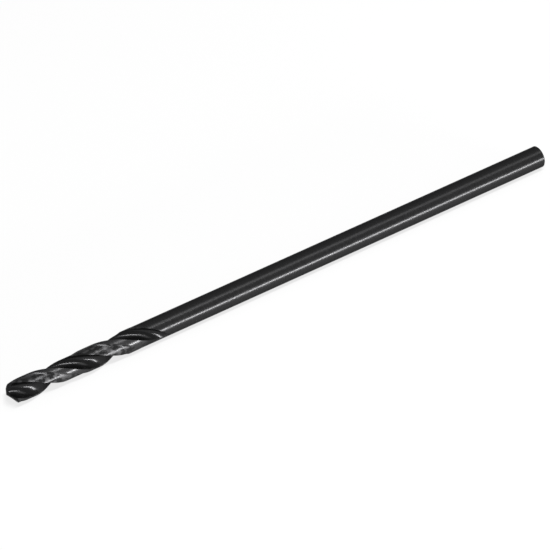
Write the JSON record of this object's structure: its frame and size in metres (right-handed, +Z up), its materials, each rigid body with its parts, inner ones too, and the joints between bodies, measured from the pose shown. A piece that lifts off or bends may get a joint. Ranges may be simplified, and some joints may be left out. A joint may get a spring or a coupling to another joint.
{
  "type": "twist drill bit",
  "caption": "Straight-shank twist drill with two helical flutes, margined lands, a relieved point and an extra-long plain shank.",
  "frame": {"origin": "centre of the shank's flat back face, on the drill's axis", "axes": "+X along the axis from the point towards the shank's end, +Z up with the drill lying flat"},
  "size_m": [0.3048, 0.0112, 0.0112],
  "materials": {
    "black_oxide_steel": "black oxide over ground high-speed steel, satin"
  },
  "bodies": {
    "root": {"twist_drill": "black_oxide_steel"}
  },
  "joints": []
}
